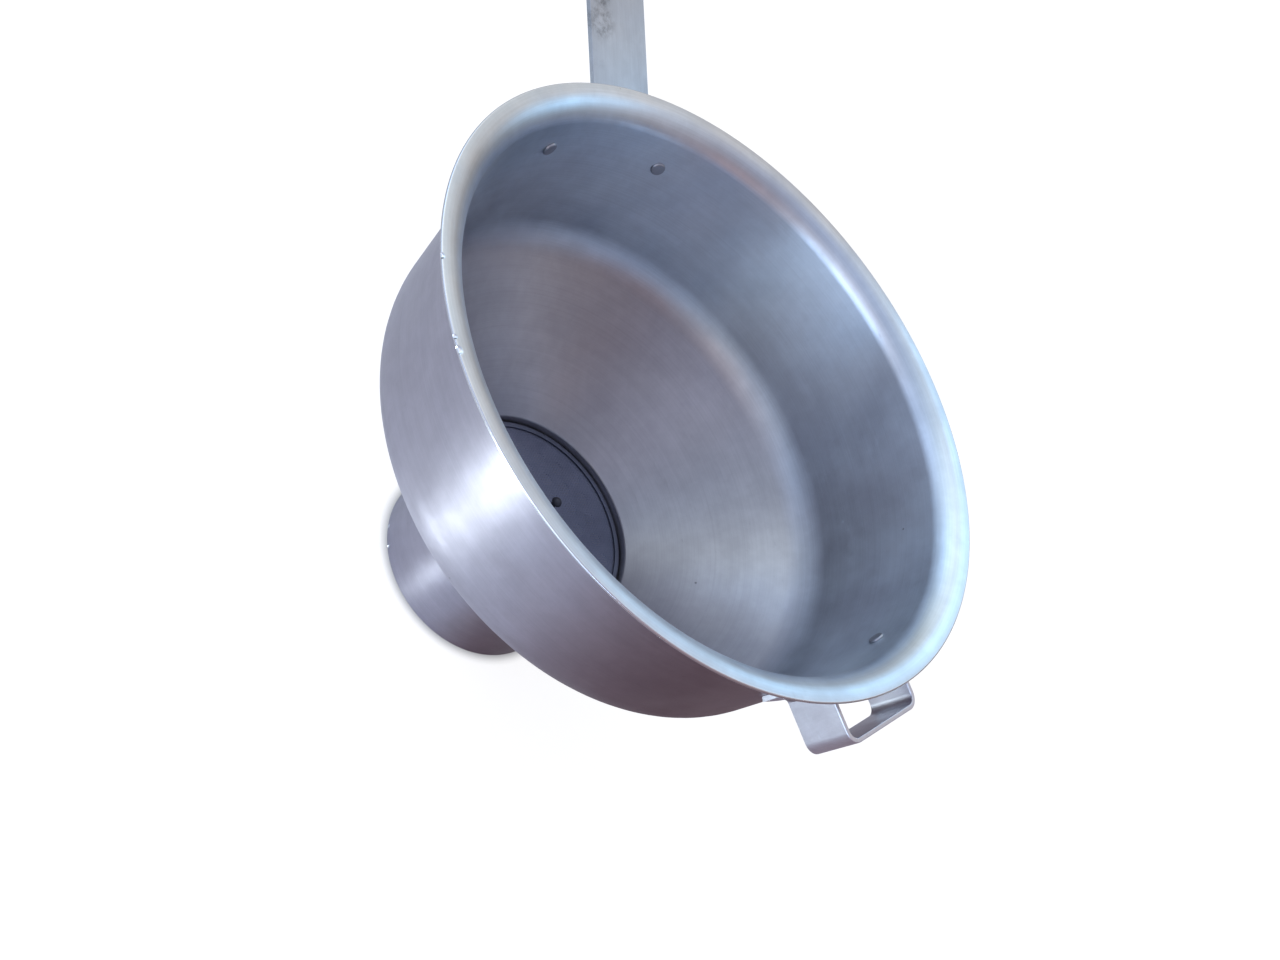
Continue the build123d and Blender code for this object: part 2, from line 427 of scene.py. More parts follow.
def strap_tree() -> ShapeTree:
    """Tree that sweeps a flat strip with rounded edges along a path with rounded corners."""
    tree = ShapeTree("bent strap")
    inputs = {"Width": tree.ask("Thickness"), "Height": tree.ask("Width")}
    strip = tree.add("GeometryNodeCurvePrimitiveQuadrilateral", inputs).outputs[0]
    inputs = {"Curve": strip, "Count": EDGE_STEPS, "Radius": tree.ask("Edge")}
    soft = tree.add("GeometryNodeFilletCurve", inputs, mode="POLY").outputs[0]
    tree.close(tree.sweep(tree.rounded(tree.ask("Bend steps", "Int")), soft, True))
    return tree


def scatter_tree() -> ShapeTree:
    """Tree that sets a copy of a part at each point, its top along the point's own direction."""
    tree = ShapeTree("fasteners")
    part = tree.add("GeometryNodeObjectInfo", {"Object": tree.ask("Part", "Object")})
    inputs = {"Vector": tree.attribute("out", "FLOAT_VECTOR")}
    turn = tree.add("FunctionNodeAlignRotationToVector", inputs, axis="Z").outputs[0]
    inputs = {
        "Points": tree.start.outputs[0],
        "Instance": part.outputs["Geometry"],
        "Rotation": turn,
    }
    tree.close(tree.add("GeometryNodeInstanceOnPoints", inputs).outputs[0])
    return tree


def weave_tree() -> ShapeTree:
    """Tree that weaves two sets of crimped wires and cuts them to a round disc."""
    tree = ShapeTree("woven wire")
    asked = ("Radius", "Pitch", "Wire", "Crimp", "Flatness", "Hole")
    radius, pitch, wire, crimp, flatness, hole = (tree.ask(name) for name in asked)
    half = tree.math("CEIL", tree.math("DIVIDE", radius, pitch))
    count = tree.math("ADD", tree.math("MULTIPLY", half, 2.0), 1.0)
    start = tree.math("MULTIPLY", tree.math("MULTIPLY", half, -1.0), pitch)
    rows = []
    for before in ((), (0.0,)):
        first, step = tree.combine(*before, start), tree.combine(*before, pitch)
        inputs = {"Count": count, "Start Location": first, "Offset": step}
        rows.append(tree.add("GeometryNodeMeshLine", inputs).outputs[0])
    odd = tree.math("MODULO", tree.add("GeometryNodeInputIndex").outputs[0], 2.0)
    wave = tree.math("SUBTRACT", tree.math("MULTIPLY", odd, 2.0), 1.0)
    lift = tree.combine(0.0, 0.0, tree.math("MULTIPLY", wave, crimp))
    crimped = tree.add("GeometryNodeSetPosition", {"Geometry": rows[0], "Offset": lift})
    flip = tree.combine(tree.math("MULTIPLY", odd, math.pi))
    inputs = {"Points": rows[1], "Instance": crimped.outputs[0], "Rotation": flip}
    wires = tree.add("GeometryNodeInstanceOnPoints", inputs).outputs[0]
    both = tree.add("GeometryNodeJoinGeometry")
    for turn in ((0.0, 0.0, 0.0), (math.pi, 0.0, math.pi / 2)):
        swung = tree.add("GeometryNodeTransform", {"Geometry": wires, "Rotation": turn})
        tree.tree.links.new(swung.outputs[0], both.inputs[0])
    plain = tree.add("GeometryNodeRealizeInstances", {"Geometry": both.outputs[0]}).outputs[0]
    place = tree.add("GeometryNodeInputPosition").outputs[0]
    reach = tree.measure("LENGTH", tree.vector("MULTIPLY", place, (1.0, 1.0, 0.0)))
    rim = tree.math("SUBTRACT", radius, tree.math("MULTIPLY", wire, WIRE_REACH))
    cut = tree.math(
        "MAXIMUM", tree.math("GREATER_THAN", reach, rim), tree.math("LESS_THAN", reach, hole)
    )
    inputs = {"Geometry": plain, "Selection": cut}
    disc = tree.add("GeometryNodeDeleteGeometry", inputs, domain="POINT").outputs[0]
    curves = tree.add("GeometryNodeMeshToCurve", {"Mesh": disc}).outputs[0]
    half_wire = tree.math("MULTIPLY", wire, 0.5)
    ring = tree.add("GeometryNodeCurvePrimitiveCircle", {"Resolution": 4, "Radius": 1.0})
    stretch = tree.combine(tree.math("MULTIPLY", half_wire, flatness), half_wire, 1.0)
    inputs = {"Geometry": ring.outputs[0], "Scale": stretch}
    section = tree.add("GeometryNodeTransform", inputs).outputs[0]
    tree.close(tree.sweep(curves, section, True), WIRE_SHARP_ANGLE)
    return tree


class BentLine:
    """A line with rounded corners, read by the length along it."""

    def __init__(self, points: Sequence[Span], bends: Sequence[float]) -> None:
        """Lays out the runs and arcs.

        Args:
            points: corners.
            bends: radius at each inner corner.
        """
        ways = [direction(a, b) for a, b in zip(points, points[1:])]
        self.runs: list[tuple[float, Callable[[float], Span]]] = []
        self.bend_spans: list[Span] = []
        at, length = points[0], 0.0
        for corner, way, after, bend in zip(points[1:], ways, [*ways[1:], ways[-1]], [*bends, 0.0]):
            across = way[0] * after[1] - way[1] * after[0]
            turn = math.atan2(across, way[0] * after[0] + way[1] * after[1])
            cut, arc = bend * math.tan(abs(turn) / 2), bend * abs(turn)
            end = (corner[0] - way[0] * cut, corner[1] - way[1] * cut)
            run = math.hypot(end[0] - at[0], end[1] - at[1])
            self.runs.append((run, self._straight(at, way)))
            length += run
            if arc:
                self.runs.append((arc, self._arc(end, way, bend, turn)))
                self.bend_spans.append((length, length + arc))
                length += arc
                at = (corner[0] + after[0] * cut, corner[1] + after[1] * cut)
        self.length = length

    @staticmethod
    def _straight(at: Span, way: Span) -> Callable[[float], Span]:
        """Reader of a straight run."""
        return lambda s: (at[0] + way[0] * s, at[1] + way[1] * s)

    @staticmethod
    def _arc(at: Span, way: Span, radius: float, turn: float) -> Callable[[float], Span]:
        """Reader of an arc that leaves a point in a direction."""
        side = math.copysign(1.0, turn)
        centre = (at[0] - way[1] * radius * side, at[1] + way[0] * radius * side)

        def read(s: float) -> Span:
            """Point at a length along the arc."""
            swing = s / radius * side
            dx, dy = at[0] - centre[0], at[1] - centre[1]
            return (
                centre[0] + dx * math.cos(swing) - dy * math.sin(swing),
                centre[1] + dx * math.sin(swing) + dy * math.cos(swing),
            )

        return read

    def at(self, s: float) -> Span:
        """Point at a length along the line."""
        for run, read in self.runs[:-1]:
            if s <= run:
                return read(s)
            s -= run
        return self.runs[-1][1](s)

    def cuts(self, steps: int) -> list[float]:
        """Lengths at which a flat strip needs a cut so that it bends evenly."""
        return [a + (b - a) * k / steps for a, b in self.bend_spans for k in range(steps + 1)]


# Finishes


FINE_LINES = Pattern(2100.0, 2.0, 0.6)
BROAD_LINES = Pattern(240.0, 3.0, 0.55)
LINE_DRIFT = Pattern(9.0, 2.0, 0.5)
CLOUDS = Pattern(16.0, 6.0, 0.62, 0.32, 0.68)
MOTTLE = Pattern(150.0, 4.0, 0.65, 0.35, 0.7)
# Waviness of the upper edge of the painted low tint.
LOW_TINT_WAVE = Pattern(18.0, 3.0, 0.5)
UNEVEN = Pattern(22.0, 5.0, 0.6, 0.2, 0.8)
GRIME = Pattern(60.0, 5.0, 0.7, 0.58, 0.75)
SMEAR = Pattern(240.0, 8.0, 0.8, 0.36, 0.72)
HAZE = Pattern(45.0, 4.0, 0.6, 0.25, 0.75)
SCRATCHES = Pattern(1.0, 1.0, 0.5, 0.70, 0.76)
HOLLOWS = Pattern(19.0, 2.0, 0.4)

DIRT: Colour = (0.055, 0.052, 0.055)
# Painted glint: colour that a nick's dent is brightened to.
NICK_GLINT: Colour = (0.82, 0.84, 0.88)
# Painted highlight and wear: colour the rim's edge is brightened to.
WORN_HIGHLIGHT: Colour = (0.74, 0.76, 0.80)
# Painted reflection: a dark brown tint for one outer side of the bowl, standing in for a brown room
# mirrored in the metal, and the direction that side faces.
PAINTED_BROWN_REFLECTION: Colour = (0.54, 0.43, 0.44)
BROWN_REFLECTION_SIDE = (-0.996, -0.087, 0.0)
# Painted reflection: heights in metres over which the darker, warmer tint low on the inside fades
# out.
LOW_TINT_LEVEL = (0.092, 0.104)
SPECKS_PER_METRE = 75.0
SPECK_CHANCE = (0.80, 0.82)
SPECK_REACH = (0.02, 0.05)
SPECK_SHARE = 0.6
SMEAR_SHARE = 0.7
NICK_DEPTH = 4e-4
WORN_HIGHLIGHT_SPAN = 0.7
WORN_HIGHLIGHT_SHARE = 0.7
WORN_POLISH = 0.08
FINE_SHARE, BROAD_SHARE = 0.6, 0.4
SCRATCH_TURN = (0.5, 0.9, 0.3)
SCRATCH_SCALE = (40.0, 1100.0, 1100.0)
SCRATCH_ROUGHNESS = 0.10
RING_DRIFT = 0.004
LOW_TINT_WAVE_HEIGHT = 0.006
STRAP_STRETCH = (0.03, 1.0, 0.03)


@dataclass(frozen=True)
class Mark:
    """One mark that use has left.

    Attributes:
        kind: what it is.
        place: its middle in mm.
        radius: its reach in mm.
    """

    kind: MarkKind
    place: Point
    radius: float


@dataclass(frozen=True)
class MetalFinish:
    """Metal with the marks of its making, and on the bowl tints of painted reflection.

    Attributes:
        slot: the record's material slot.
        light: colour of the cleaner metal.
        dark: colour of the duller metal.
        roughness: mean roughness.
        pull: how far the grain draws a highlight out across itself.
        grain: how the tool marks run.
        relief: depth of the tool marks in metres.
        dents: depth of slow hollows in metres.
        grime: share of dark dirt.
        painted_low_tint: painted reflection, a darker, warmer tint low on the inside; None leaves
            out every painted tint.
        painted_outer_tint: painted reflection, a duller, warmer tint on faces turned outward.
        worn_highlight_radius: radius in mm beyond which an edge is made smoother by wear and
            painted brighter as a highlight, or 0 for none.
        marks: single marks.
    """

    slot: str
    light: Colour
    dark: Colour
    roughness: float
    pull: float = 0.0
    grain: Grain = Grain.NONE
    relief: float = 4e-6
    dents: float = 1e-4
    grime: float = 0.2
    painted_low_tint: Colour | None = None
    painted_outer_tint: Colour = (1.0, 1.0, 1.0)
    worn_highlight_radius: float = 0.0
    marks: tuple[Mark, ...] = ()

    def grain_place(self, tree: ShadeTree) -> Socket:
        """Coordinates that hardly change along the grain."""
        if self.grain is Grain.RINGS:
            drift = tree.math("MULTIPLY", tree.noise(LINE_DRIFT), RING_DRIFT)
            return tree.combine(tree.measure("LENGTH", tree.flat), drift, tree.height)
        if self.grain is Grain.LENGTHWISE:
            return tree.vector("MULTIPLY", tree.place, STRAP_STRETCH)
        return tree.place

    def tangent(self, tree: ShadeTree) -> Socket | None:
        """Direction in which the highlight is drawn out, square to the grain."""
        if self.grain is Grain.RINGS:
            round_axis = tree.vector("CROSS_PRODUCT", (0.0, 0.0, 1.0), tree.place)
            return tree.vector("CROSS_PRODUCT", tree.normal, round_axis)
        return tree.combine(0.0, 1.0) if self.grain is Grain.LENGTHWISE else None

    def metal(self, tree: ShadeTree, fine: Socket, broad: Socket) -> Socket:
        """Colour of the metal itself, with clouds, tool marks and mottling.

        Args:
            tree: the material's tree.
            fine: the finer tool marks.
            broad: the broader tool marks.

        Returns:
            The colour.
        """
        colour = tree.blend(tree.pattern(CLOUDS), self.dark, self.light)
        fine = tree.math("MULTIPLY", fine, FINE_SHARE)
        broad = tree.math("MULTIPLY", broad, BROAD_SHARE)
        streak = tree.ramp(tree.math("ADD", fine, broad), 0.3, 0.7, (0.95, 1.045))
        return tree.tint(tree.tint(colour, streak), tree.pattern(MOTTLE, (0.965, 1.03)))

    def painted_reflections(self, tree: ShadeTree, colour: Socket) -> Socket:
        """Painted reflections: a darker, warmer tint low on the inside, a duller outside, and one
        outer side dark brown.

        Args:
            tree: the material's tree.
            colour: colour of the bare metal.

        Returns:
            The colour with the painted reflections.
        """
        outward = tree.vector("NORMALIZE", tree.flat)
        outer = tree.ramp(tree.measure("DOT_PRODUCT", tree.normal, outward), 0.1, 0.6)
        # Painted reflection: faces low on the inside are tinted darker and warmer, below a wavy
        # height.
        wave = tree.math("MULTIPLY", tree.noise(LOW_TINT_WAVE), LOW_TINT_WAVE_HEIGHT)
        low = tree.ramp(tree.math("ADD", tree.height, wave), *LOW_TINT_LEVEL, (1.0, 0.0))
        low_tinted = tree.blend(low, colour, tree.tint(colour, self.painted_low_tint))
        # Painted reflection: faces turned outward are tinted duller and warmer.
        colour = tree.blend(outer, low_tinted, tree.tint(colour, self.painted_outer_tint))
        # Painted reflection: the outward faces on one side turn dark brown.
        side = tree.ramp(tree.measure("DOT_PRODUCT", outward, BROWN_REFLECTION_SIDE), 0.5, 0.98)
        share = tree.math("MULTIPLY", outer, side)
        share = tree.math("MULTIPLY", share, tree.pattern(UNEVEN, (0.75, 1.0)))
        return tree.blend(share, colour, tree.tint(colour, PAINTED_BROWN_REFLECTION))

    def marked(self, tree: ShadeTree) -> tuple[Socket, Socket | None]:
        """Where dirt and nick marks lie: dull patches, specks and the single marks, each nick
        painted bright as a glint.

        Args:
            tree: the material's tree.

        Returns:
            Shares of dirt and of nick marks with their painted glints, the latter None where there
            are none.
        """
        dirt = tree.math("MULTIPLY", tree.pattern(GRIME), self.grime)
        inputs = {"Vector": tree.place, "Scale": SPECKS_PER_METRE}
        speck = tree.add("ShaderNodeTexVoronoi", inputs)
        chance = tree.add("ShaderNodeSeparateColor", {0: speck.outputs["Color"]}).outputs[0]
        dot = tree.ramp(speck.outputs["Distance"], *SPECK_REACH, (1.0, 0.0))
        dot = tree.math("MULTIPLY", dot, tree.ramp(chance, *SPECK_CHANCE))
        dirt = tree.math("MAXIMUM", dirt, tree.math("MULTIPLY", dot, SPECK_SHARE))
        smear = tree.pattern(SMEAR, (0.0, SMEAR_SHARE))
        dents_and_glints = None
        for mark in self.marks:
            spot = tree.near(Vector(mark.place) * MM, mark.radius * MM)
            if mark.kind is MarkKind.SMUDGE:
                dirt = tree.math("MAXIMUM", dirt, tree.math("MULTIPLY", spot, smear))
            else:
                dents_and_glints = spot if dents_and_glints is None else tree.math("MAXIMUM", dents_and_glints, spot)
        return dirt, dents_and_glints

    def material(self) -> bpy.types.Material:
        """Builds the node material.

        Returns:
            The finished material, named after its slot.
        """
        tree = ShadeTree(self.slot)
        lines = self.grain_place(tree)
        fine, broad = tree.noise(FINE_LINES, lines), tree.noise(BROAD_LINES, lines)
        colour = self.metal(tree, fine, broad)
        # Painted reflections, only for a finish that has a low tint.
        if self.painted_low_tint:
            colour = self.painted_reflections(tree, colour)
        dirt, dents_and_glints = self.marked(tree)
        colour = tree.blend(dirt, colour, DIRT)
        rough = tree.pattern(HAZE, (self.roughness - 0.04, self.roughness + 0.05))
        # Rim edge: smoother from wear, and painted brighter as a highlight.
        if self.worn_highlight_radius:
            reach = tree.measure("LENGTH", tree.flat)
            worn_highlight = tree.ramp(reach, (self.worn_highlight_radius - WORN_HIGHLIGHT_SPAN) * MM, self.worn_highlight_radius * MM)
            colour = tree.blend(tree.math("MULTIPLY", worn_highlight, WORN_HIGHLIGHT_SHARE), colour, WORN_HIGHLIGHT)
            rough = tree.math("SUBTRACT", rough, tree.math("MULTIPLY", worn_highlight, WORN_POLISH))
        inputs = {"Vector": tree.place, "Rotation": SCRATCH_TURN, "Scale": SCRATCH_SCALE}
        scratched = tree.add("ShaderNodeMapping", inputs).outputs[0]
        scratch = tree.pattern(SCRATCHES, place=scratched)
        rough = tree.math("ADD", rough, tree.math("MULTIPLY", scratch, SCRATCH_ROUGHNESS))
        normal = tree.bump(tree.noise(HOLLOWS), self.dents)
        normal = tree.bump(broad, self.relief * 0.8, normal)
        normal = tree.bump(fine, self.relief, normal)
        normal = tree.bump(tree.math("MULTIPLY", scratch, -1.0), self.relief * 3.0, normal)
        # Each nick dents the relief and is painted brighter as a glint.
        if dents_and_glints is not None:
            colour = tree.blend(dents_and_glints, colour, NICK_GLINT)
            normal = tree.bump(tree.math("MULTIPLY", dents_and_glints, -1.0), NICK_DEPTH, normal)
        inputs = {
            "Base Color": colour,
            "Metallic": 1.0,
            "Roughness": rough,
            "Anisotropic": self.pull,
            "Normal": normal,
        }
        tangent = self.tangent(tree)
        if tangent is not None:
            inputs["Tangent"] = tangent
        return tree.end(tree.add("ShaderNodeBsdfPrincipled", inputs).outputs[0])


SPUN = MetalFinish(
    "spun_aluminium",
    (0.65, 0.72, 0.80),
    (0.57, 0.63, 0.71),
    0.34,
    pull=0.75,
    grain=Grain.RINGS,
    relief=3e-6,
    dents=3e-4,
    grime=0.06,
    # Painted reflections: tints low on the inside and on the outside.
    painted_low_tint=(0.64, 0.56, 0.54),
    painted_outer_tint=(0.80, 0.69, 0.71),
    # Rim edge painted brighter as a highlight, and smoother from wear.
    worn_highlight_radius=119.8,
    # Nick marks, painted bright as glints.
    marks=(
        Mark(MarkKind.NICK, (35.6, 114.6, 163.0), 1.4),
        Mark(MarkKind.NICK, (3.0, 119.9, 163.0), 1.8),
        Mark(MarkKind.NICK, (7.5, 119.6, 163.0), 1.0),
        Mark(MarkKind.NICK, (18.0, 36.8, 0.6), 1.2),
        Mark(MarkKind.NICK, (9.0, 40.0, 1.0), 1.0),
    ),
)
STRAP = MetalFinish(
    "strap_aluminium",
    (0.50, 0.55, 0.61),
    (0.39, 0.42, 0.47),
    0.36,
    pull=0.35,
    grain=Grain.LENGTHWISE,
    relief=3e-6,
    dents=2e-4,
    marks=(
        Mark(MarkKind.SMUDGE, (143.0, 9.0, 170.0), 9.0),
        Mark(MarkKind.SMUDGE, (152.0, 8.0, 174.0), 7.0),
    ),
)
# Painted light: the loop is the handle strap's stock, made lighter and bluer than the handle as a
# lit copy.
LIT_LOOP = replace(STRAP, light=(0.74, 0.77, 0.86), dark=(0.62, 0.64, 0.72), roughness=0.38, marks=())
RIVET = MetalFinish("rivet_aluminium", (0.44, 0.46, 0.51), (0.32, 0.33, 0.38), 0.4)
SIEVE = MetalFinish("sieve_aluminium", (0.20, 0.21, 0.28), (0.15, 0.16, 0.21), 0.5)
PIN = replace(SIEVE, light=(0.08, 0.08, 0.10), dark=(0.05, 0.05, 0.06))
WIRE = MetalFinish(
    "gauze_wire", (0.24, 0.25, 0.34), (0.175, 0.185, 0.26), 0.45, relief=2e-6, grime=0.15
)
FINISHES = (SPUN, STRAP, LIT_LOOP, RIVET, SIEVE, PIN, WIRE)


class Workshop:
    """Trees and materials that the sub-assemblies share."""

    def __init__(self) -> None:
        """Builds every tree and material once."""
        self.turned = turned_tree()
        self.strap = strap_tree()
        self.scatter = scatter_tree()
        self.weave = weave_tree()
        self.materials = {finish: finish.material() for finish in FINISHES}

    def turn(
        self,
        name: str,
        points: Sequence[OutlinePoint],
        finish: MetalFinish,
        closed: bool = True,
        steps: int = ROUND_STEPS,
    ) -> bpy.types.Object:
        """Makes a piece by turning a profile about the axis.

        Args:
            name: name of the piece.
            points: profile as radius, height and rounding, in mm.
            finish: its metal.
            closed: whether the profile is a closed outline.
            steps: faces around the axis.

        Returns:
            The piece.
        """
        # A swept profile's second axis points down.
        mesh = line_mesh(name, [(radius, -height, bend) for radius, height, bend in points], closed)
        sizes = {"Steps": steps, "Bend_steps": BEND_STEPS}
        return grow(name, mesh, self.turned, Material=self.materials[finish], **sizes)

    def fit(self, piece: bpy.types.Object, body: Body, node: str) -> None:
        """Puts a piece on its body in place of a node, and reports it.

        Args:
            piece: the finished piece.
            body: the body it rides on.
            node: the node it stands for.
        """
        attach(piece, body.value)
        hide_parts(node)
        log.info("%s: %d faces, rides on %s", piece.name, len(piece.data.polygons), body.value)


# Sub-assemblies


@dataclass
class Bowl:
    """Spun shell: flared lip, tapering wall, round shoulder, cone, and crimped collar."""

    sheet: float = 1.2
    rim_radius: float = 120.0
    lip_width: float = 10.7
    lip_bend: float = 10.0
    lip_edge_round: float = 0.5
    shoulder_bend: float = 24.0
    wall_height: float = 68.4
    wall_taper: float = 6.9
    cone_angle: float = 41.7
    neck_radius: float = 45.0
    neck_z: float = 44.75
    neck_bend: float = 1.5
    collar_base_z: float = 34.0
    crimp_length: float = 2.6
    crimp_bend: float = 1.2
    spout_radius: float = 41.0
    spout_straight: float = 28.0
    rivet_depth: float = 21.2

    def __post_init__(self) -> None:
        """Works out the heights that follow from the sizes."""
        self.slope = math.radians(self.wall_taper)
        self.lip_root = self.rim_radius - self.lip_width
        self.shoulder_radius = self.lip_root - self.wall_height * math.tan(self.slope)
        rise = (self.shoulder_radius - self.neck_radius) * math.tan(math.radians(self.cone_angle))
        self.shoulder_z = self.neck_z + rise
        self.rim_z = self.shoulder_z + self.wall_height
        self.rivet_z = self.rim_z - self.rivet_depth

    def wall_radius(self, z: float) -> float:
        """Outer radius of the straight part of the wall at a height."""
        inner = self.lip_root - (self.rim_z - z) * math.tan(self.slope)
        return inner + self.sheet / math.cos(self.slope)

    def wall_curve(self) -> float:
        """Radius of the wall's outer face at the rivets, measured square to its slope."""
        return self.wall_radius(self.rivet_z) / math.cos(self.slope)

    def wall_plane(self, angle: float) -> Matrix:
        """Place of a plane square to the wall's slope, its x leaving the axis through the wall.

        Args:
            angle: turn about the axis in degrees.

        Returns:
            Matrix from the plane to the model, in metres.
        """
        rise = self.wall_radius(self.rivet_z) * math.tan(self.slope)
        lift = Matrix.Translation((0.0, 0.0, (self.rivet_z + rise) * MM))
        turn = Matrix.Rotation(math.radians(angle), 4, "Z")
        return lift @ turn @ Matrix.Rotation(self.slope, 4, "Y")

    def build(self, shop: Workshop) -> None:
        """Makes and places the shell."""
        base = (self.neck_radius, self.collar_base_z)
        flare = direction(base, (self.spout_radius, self.spout_straight))
        points = [
            (self.rim_radius, self.rim_z),
            (self.lip_root, self.rim_z),
            (self.shoulder_radius, self.shoulder_z),
            (self.neck_radius, self.neck_z),
            base,
            (base[0] + flare[0] * self.crimp_length, base[1] + flare[1] * self.crimp_length),
        ]
        bends = [self.lip_bend, self.shoulder_bend, self.neck_bend, self.crimp_bend]
        outline = sheet_outline(points, bends, self.sheet, (self.lip_edge_round, 0.0))
        shop.fit(shop.turn("bowl_shell", outline, SPUN), Body.STRAINER, "bowl")


@dataclass
class Spout:
    """Drawn tube: a cup held in the bowl's collar over a straight spigot."""

    radius: float = 41.0
    sheet: float = 1.2
    straight: float = 28.0
    cup_radius: float = 44.85
    cup_base_z: float = 34.0
    ledge_z: float = 39.0
    bend: float = 3.0
    edge_round: float = 0.25

    def build(self, shop: Workshop) -> None:
        """Makes and places the tube."""
        points = [
            (self.cup_radius, self.ledge_z),
            (self.cup_radius, self.cup_base_z),
            (self.radius, self.straight),
            (self.radius, 0.0),
        ]
        outline = sheet_outline(points, [self.bend, self.bend], -self.sheet, (0.0, self.edge_round))
        shop.fit(shop.turn("spout_tube", outline, SPUN), Body.STRAINER, "spout")


@dataclass
class Sieve:
    """Folded ring with wire gauze on a pierced plate, and the pin that lifts it."""

    outer_radius: float = 44.7
    ring_z: float = 39.1
    ring_height: float = 3.05
    ring_sheet: float = 0.7
    ring_flange: float = 2.6
    ring_bend: float = 1.0
    ring_edge_round: float = 0.15
    layer_radius: float = 43.7
    plate_z: float = 39.85
    gauze_z: float = 40.9
    gauze_thickness: float = 0.5
    mesh_pitch: float = 0.74
    wire: float = 0.24
    wire_flatness: float = 1.9
    pin_radius: float = 1.2
    pin_hole: float = 1.28
    pin_top: float = 60.4
    pin_head_radius: float = 2.2
    pin_head_height: float = 2.6
    pin_foot_radius: float = 2.6
    pin_foot_height: float = 0.8
    layer_gap: float = 0.05
    pin_belly: float = 0.3
    pin_neck_round: float = 0.2
    small_round: float = 0.1
    washer_radius: float = 6.0
    washer_thickness: float = 0.8
    washer_round: float = 0.3

    def ring(self, shop: Workshop) -> bpy.types.Object:
        """Ring folded over the rims of the gauze and the plate."""
        top = self.ring_z + self.ring_height
        points = [
            (self.outer_radius - self.ring_flange, self.ring_z),
            (self.outer_radius, self.ring_z),
            (self.outer_radius, top),
            (self.outer_radius - self.ring_flange, top),
        ]
        edges = (self.ring_edge_round, self.ring_edge_round)
        outline = sheet_outline(points, [self.ring_bend] * 2, self.ring_sheet, edges)
        return shop.turn("sieve_fold", outline, SIEVE)

    def gauze(self, shop: Workshop) -> bpy.types.Object:
        """Woven wire cloth, with a hole for the pin."""
        crimp = (self.gauze_thickness - self.wire) / 2
        piece = grow(
            "gauze_weave",
            bpy.data.meshes.new("gauze_weave"),
            shop.weave,
            Radius=self.layer_radius * MM,
            Pitch=self.mesh_pitch * MM,
            Wire=self.wire * MM,
            Crimp=crimp * MM,
            Flatness=self.wire_flatness,
            Hole=(self.pin_hole + self.wire) * MM,
            Material=shop.materials[WIRE],
        )
        middle = (self.gauze_z + self.gauze_thickness / 2) * MM
        piece.data.transform(Matrix.Translation((0.0, 0.0, middle)))
        return piece

    def washer(self, shop: Workshop) -> bpy.types.Object:
        """Washer that spreads the pin's hold over the gauze."""
        low = self.gauze_z + self.gauze_thickness + self.layer_gap
        high = low + self.washer_thickness
        outline = [
            (self.pin_hole, low, 0.0),
            (self.washer_radius, low, 0.0),
            (self.washer_radius, high, self.washer_round),
            (self.pin_hole, high, self.small_round),
        ]
        return shop.turn("pin_washer_disc", outline, SIEVE, steps=WASHER_STEPS)

    def pin(self, shop: Workshop) -> bpy.types.Object:
        """Pin with a round head, clinched under the plate."""
        base = self.plate_z - self.layer_gap
        foot = base - self.pin_foot_height
        neck = self.pin_top - self.pin_head_height
        belly = neck + self.pin_head_height * self.pin_belly
        flat, ball = crown(self.pin_head_radius, self.pin_top - belly)
        profile = [
            (0.0, self.pin_top, 0.0),
            (flat, self.pin_top, ball),
            (self.pin_head_radius, belly, self.small_round),
            (self.pin_radius, neck, self.pin_neck_round),
            (self.pin_radius, base, 0.0),
            (self.pin_foot_radius, base, self.small_round),
            (self.pin_foot_radius, foot, self.pin_neck_round),
            (0.0, foot, 0.0),
        ]
        return shop.turn("lift_pin_stem", profile, PIN, closed=False, steps=SMALL_STEPS)

    def build(self, shop: Workshop) -> None:
        """Makes and places the sieve's pieces, and dresses its plate."""
        shop.fit(self.ring(shop), Body.SIEVE, "sieve_ring")
        shop.fit(self.gauze(shop), Body.SIEVE, "gauze")
        shop.fit(self.washer(shop), Body.SIEVE, "pin_washer")
        shop.fit(self.pin(shop), Body.SIEVE, "lift_pin")
        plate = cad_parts["support_plate"]
        plate.data.materials.clear()
        plate.data.materials.append(shop.materials[SIEVE])
        log.info("support_plate: kept as it is, with a new finish")


@dataclass(frozen=True)
class Pair:
    """Two rivets that hold a strap to the wall.

    Attributes:
        name: name of the piece.
        node: the node it stands for.
        angle: turn of its middle about the axis, in degrees.
        spacing: distance between the rivets in mm.
        strap: thickness of the strap in mm.
    """

    name: str
    node: str
    angle: float
    spacing: float
    strap: float


